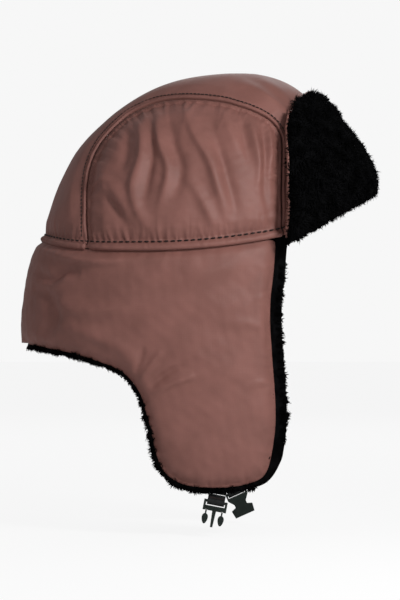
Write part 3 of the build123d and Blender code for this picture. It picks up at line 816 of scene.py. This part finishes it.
def on_flap(rise, turn, size, seed):
    """Smooth random field over the flap."""
    place = np.stack([(turn * FLAP_RADIUS).ravel(), (rise * FLAP_RADIUS).ravel()], 1)
    return waves(place, size, seed).reshape(turn.shape)


def bend_at_front(piece):
    """Bakes the piece's placement into its mesh."""
    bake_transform(piece)


def front_flap():
    """Front flap: brown cloth towards the crown, rolled round the edges, and fur outwards."""
    def back_lift(u, v, rise, turn):
        roll = 1 - edge_share(u, v, 0.03, 0.05)
        wrinkle = on_flap(rise, turn, 14, 71)
        return 0.3 + 0.5 * wrinkle + (5.6 - 1.8 * slimmer(v)) * roll**1.6

    points, faces = flap_grid(
        lambda x: hem_height(x) - 1.5, lambda x: free_edge(x) - 3.0, body_lift=3.0, lift=back_lift,
        columns=200, rows=64)
    faces = facing(points, faces, inward=True)
    points, faces = rim(points, faces, -normals(points, faces), [1.2])
    backing = make("front_flap_cloth", points, faces, NYLON, "shell_cloth")
    bend_at_front(backing)
    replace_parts(backing, "front_flap_backing", "front_flap_wadding")

    def fur_lift(u, v, rise, turn):
        pile = 8.6 - 5.0 * slimmer(v) + 0.8 * on_flap(rise, turn, 15, 77)
        return 5.2 - 1.6 * slimmer(v) + pile * edge_share(u, v, 0.09, 0.12)

    points, faces = flap_grid(
        fur_foot, free_edge, body_lift=12.0, lift=fur_lift, columns=150, rows=56, short=5.4)
    faces = facing(points, faces)
    points, faces = rim(points, faces, -normals(points, faces), [1.5, 3.0])
    points, faces = with_tufts(points, faces, count=19500, length=3.6, width=0.5, seed=79,
                               comb=(0.12, 0.0, -0.15))
    fur = make("front_flap_pile", points, faces, FUR, "black_fur")
    bend_at_front(fur)
    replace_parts(fur, "front_flap_fur")


front_flap()


# ---------------------------------------------------------------- stitches
def stitches(line, out, pitch, length, radius):
    """Thread stitches along a line of points, with their outward directions."""
    run = np.concatenate([[0], np.cumsum(np.linalg.norm(np.diff(line, axis=0), axis=1))])
    verts, faces = [], []
    sides = 6
    rings = [  # share of the length, of the radius, and height in radii
        (-0.5, 0.25, -0.5), (-0.36, 0.9, 0.1), (0.0, 1.0, 0.35), (0.36, 0.9, 0.1), (0.5, 0.25, -0.5)]

    def sample(values, place):
        return np.array([np.interp(place, run, values[:, k]) for k in range(3)])

    for start in np.arange(pitch / 2, run[-1] - pitch / 2, pitch):
        centre = sample(line, start)
        ahead = sample(line, start + 0.5) - centre
        ahead /= np.linalg.norm(ahead)
        normal = sample(out, start)
        across = np.cross(ahead, normal)
        across /= np.linalg.norm(across)
        normal = np.cross(across, ahead)
        base = len(verts)
        for along, wide, high in rings:
            for k in range(sides):
                angle = 2 * pi * k / sides
                offset = across * cos(angle) * 1.15 + normal * (sin(angle) * 0.7 + high)
                verts.append(centre + ahead * along * length + offset * radius * wide)
        for r in range(len(rings) - 1):
            for k in range(sides):
                m = (k + 1) % sides
                a = base + r * sides
                faces.append((a + k, a + m, a + sides + m, a + sides + k))
        faces.append(tuple(base + k for k in reversed(range(sides))))
        faces.append(tuple(base + (len(rings) - 1) * sides + k for k in range(sides)))
    return np.array(verts), faces


def hem_stitches():
    """The row of stitches over the crown's hem."""
    turn = np.linspace(-pi, pi, 700)
    rise = edge_rise(turn, HEM_BAND)
    line = crown_point(rise, turn, -0.55)
    out = np.stack([np.cos(turn), np.sin(turn) * 1.2, 0 * turn], 1)
    thread = stitches(line, out, pitch=4.8, length=3.4, radius=0.5)
    piece = make("crown_hem_thread", *thread, THREAD, "thread")
    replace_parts(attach(piece, "hat"), "crown_hem_stitching")


def seam_stitches(name, side):
    """The row of stitches beside one side panel's seam, on the centre panel."""
    row = seam_line(1.0, 2.5)
    row = row[row[:, 1] > hem_height(row[:, 0]) + HEM_BAND + 2]
    rise, turn = crown_angles(row[:, 0], row[:, 1], side)
    line = crown_point(rise, turn, -0.25)
    out = crown_point(rise, turn, 5.0) - line
    thread = stitches(line, out, pitch=3.0, length=2.6, radius=0.44)
    piece = make(f"panel_seam_thread_{name}", *thread, THREAD, "thread")
    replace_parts(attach(piece, "hat"), f"panel_seam_stitching_{name}")


hem_stitches()
seam_stitches("right", -1)
seam_stitches("left", 1)


# ---------------------------------------------------------------- crown lining
def crown_lining():
    """Quilted lining inside the crown, seen from below."""
    turn = np.linspace(-pi, pi, 240)[:-1]
    outline = to_disk(edge_rise(turn, 2.0), turn)
    flat, faces = patch(outline, 2.8)
    rise, turn = from_disk(flat)
    base = crown_point(rise, turn, -8.6)
    faces = facing(base, faces, inward=True)
    quilt = 30.0
    a = np.abs(((flat[:, 0] + flat[:, 1]) / quilt) % 1 - 0.5) * 2
    b = np.abs(((flat[:, 0] - flat[:, 1]) / quilt) % 1 - 0.5) * 2
    pillow = (1 - a**2.5) * (1 - b**2.5)
    high = 1.8 * np.sqrt(np.clip(pillow, 0, 1)) - 0.6 + 0.25 * waves(flat, 8, 91)
    points = base + normals(base, faces) * high[:, None]
    piece = make("crown_quilted_lining", points, faces, LINING, "quilted_lining")
    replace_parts(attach(piece, "hat"), "crown_lining")


crown_lining()

# ---------------------------------------------------------------- straps and buckle
def finished(node, finish):
    """The CAD's own piece for a node, given that material."""
    part = frame["nodes"][node]
    part.data.materials.clear()
    part.data.materials.append(finish)
    return part


for name in ("right", "left"):
    finished(f"strap_sewn_end_{name}", WEBBING)
    finished(f"chin_strap_{name}", WEBBING)
    finished(f"strap_bar_tack_{name}", THREAD)
for node in ("male_buckle_frame", "male_buckle_arm_front", "male_buckle_arm_rear", "female_buckle_housing"):
    part = finished(node, PLASTIC)
    bevel = part.modifiers.new("rounded_edges", "BEVEL")
    bevel.width = 0.25 * MM
    bevel.segments = 2
    bevel.limit_method = "ANGLE"
    bevel.angle_limit = radians(40)

# ---------------------------------------------------------------- floor, light and camera
FLOOR_Z = CAD_BOX[0][2] - 0.004
DISTANCE = 2.2
VIEW_HEIGHT = 0.444  # of the picture, at the hat's middle
AIM = Vector((-0.0037, 0.0, -0.0444))
SENSOR = 36.0


def stage():
    """Pale floor; part of what the camera sees of it is its own glow, so that it reads as white."""
    mesh = bpy.data.meshes.new("floor")
    size = 6.0
    mesh.from_pydata([(-size, -size, FLOOR_Z), (size, -size, FLOOR_Z), (size, size, FLOOR_Z),
                      (-size, size, FLOOR_Z)], [], [(0, 1, 2, 3)])
    made = bpy.data.materials.new("floor")
    made.use_nodes = True
    tree = made.node_tree
    shader = tree.nodes["Principled BSDF"]
    shader.inputs["Base Color"].default_value = (0.86, 0.86, 0.86, 1)
    shader.inputs["Roughness"].default_value = 0.9
    shader.inputs["Specular IOR Level"].default_value = 0.0
    glow = add_node(tree, "ShaderNodeEmission", Color=(0.98, 0.98, 0.98, 1), Strength=1.0)
    path = add_node(tree, "ShaderNodeLightPath")
    share = add_node(tree, "ShaderNodeMath", operation="MULTIPLY")
    share.inputs[1].default_value = 0.9
    mix = add_node(tree, "ShaderNodeMixShader")
    tree.links.new(path.outputs["Is Camera Ray"], share.inputs[0])
    tree.links.new(share.outputs["Value"], mix.inputs["Fac"])
    tree.links.new(shader.outputs["BSDF"], mix.inputs[1])
    tree.links.new(glow.outputs["Emission"], mix.inputs[2])
    tree.links.new(mix.outputs["Shader"], tree.nodes["Material Output"].inputs["Surface"])
    mesh.materials.append(made)
    floor = bpy.data.objects.new("floor", mesh)
    bpy.context.scene.collection.objects.link(floor)


def world():
    """Dim even light, with a pale grey background for the camera."""
    made = bpy.data.worlds.new("studio")
    made.use_nodes = True
    tree = made.node_tree
    tree.nodes.clear()
    light = add_node(tree, "ShaderNodeBackground", Color=(0.97, 0.98, 1.0, 1), Strength=0.34)
    seen = add_node(tree, "ShaderNodeBackground", Color=(0.93, 0.93, 0.93, 1), Strength=1.0)
    path = add_node(tree, "ShaderNodeLightPath")
    both = add_node(tree, "ShaderNodeMath", operation="MAXIMUM")
    mix = add_node(tree, "ShaderNodeMixShader")
    out = add_node(tree, "ShaderNodeOutputWorld")
    tree.links.new(path.outputs["Is Camera Ray"], both.inputs[0])
    tree.links.new(path.outputs["Is Transmission Ray"], both.inputs[1])
    tree.links.new(both.outputs["Value"], mix.inputs["Fac"])
    tree.links.new(light.outputs["Background"], mix.inputs[1])
    tree.links.new(seen.outputs["Background"], mix.inputs[2])
    tree.links.new(mix.outputs["Shader"], out.inputs["Surface"])
    bpy.context.scene.world = made


def lamp(name, place, size, power):
    light = bpy.data.lights.new(name, "AREA")
    light.shape = "DISK"
    light.size = size
    light.energy = power
    holder = bpy.data.objects.new(name, light)
    holder.location = place
    holder.rotation_euler = (AIM - Vector(place)).to_track_quat("-Z", "Y").to_euler()
    bpy.context.scene.collection.objects.link(holder)


def camera():
    made = bpy.data.cameras.new("camera")
    made.sensor_fit = "VERTICAL"
    made.sensor_height = SENSOR
    made.lens = SENSOR * DISTANCE / VIEW_HEIGHT
    made.clip_end = 50
    holder = bpy.data.objects.new("camera", made)
    holder.location = AIM + Vector((0, -DISTANCE, 0))
    holder.rotation_euler = (pi / 2, 0, 0)
    bpy.context.scene.collection.objects.link(holder)
    bpy.context.scene.camera = holder


stage()
world()
lamp("key", (0.40, -0.62, 0.27), size=0.2, power=4.9)
lamp("fill", (-1.0, -1.7, 0.7), size=1.0, power=3.0)
lamp("back", (0.2, 1.6, 1.0), size=1.0, power=6.0)
camera()
bpy.context.scene.view_settings.view_transform = "Standard"
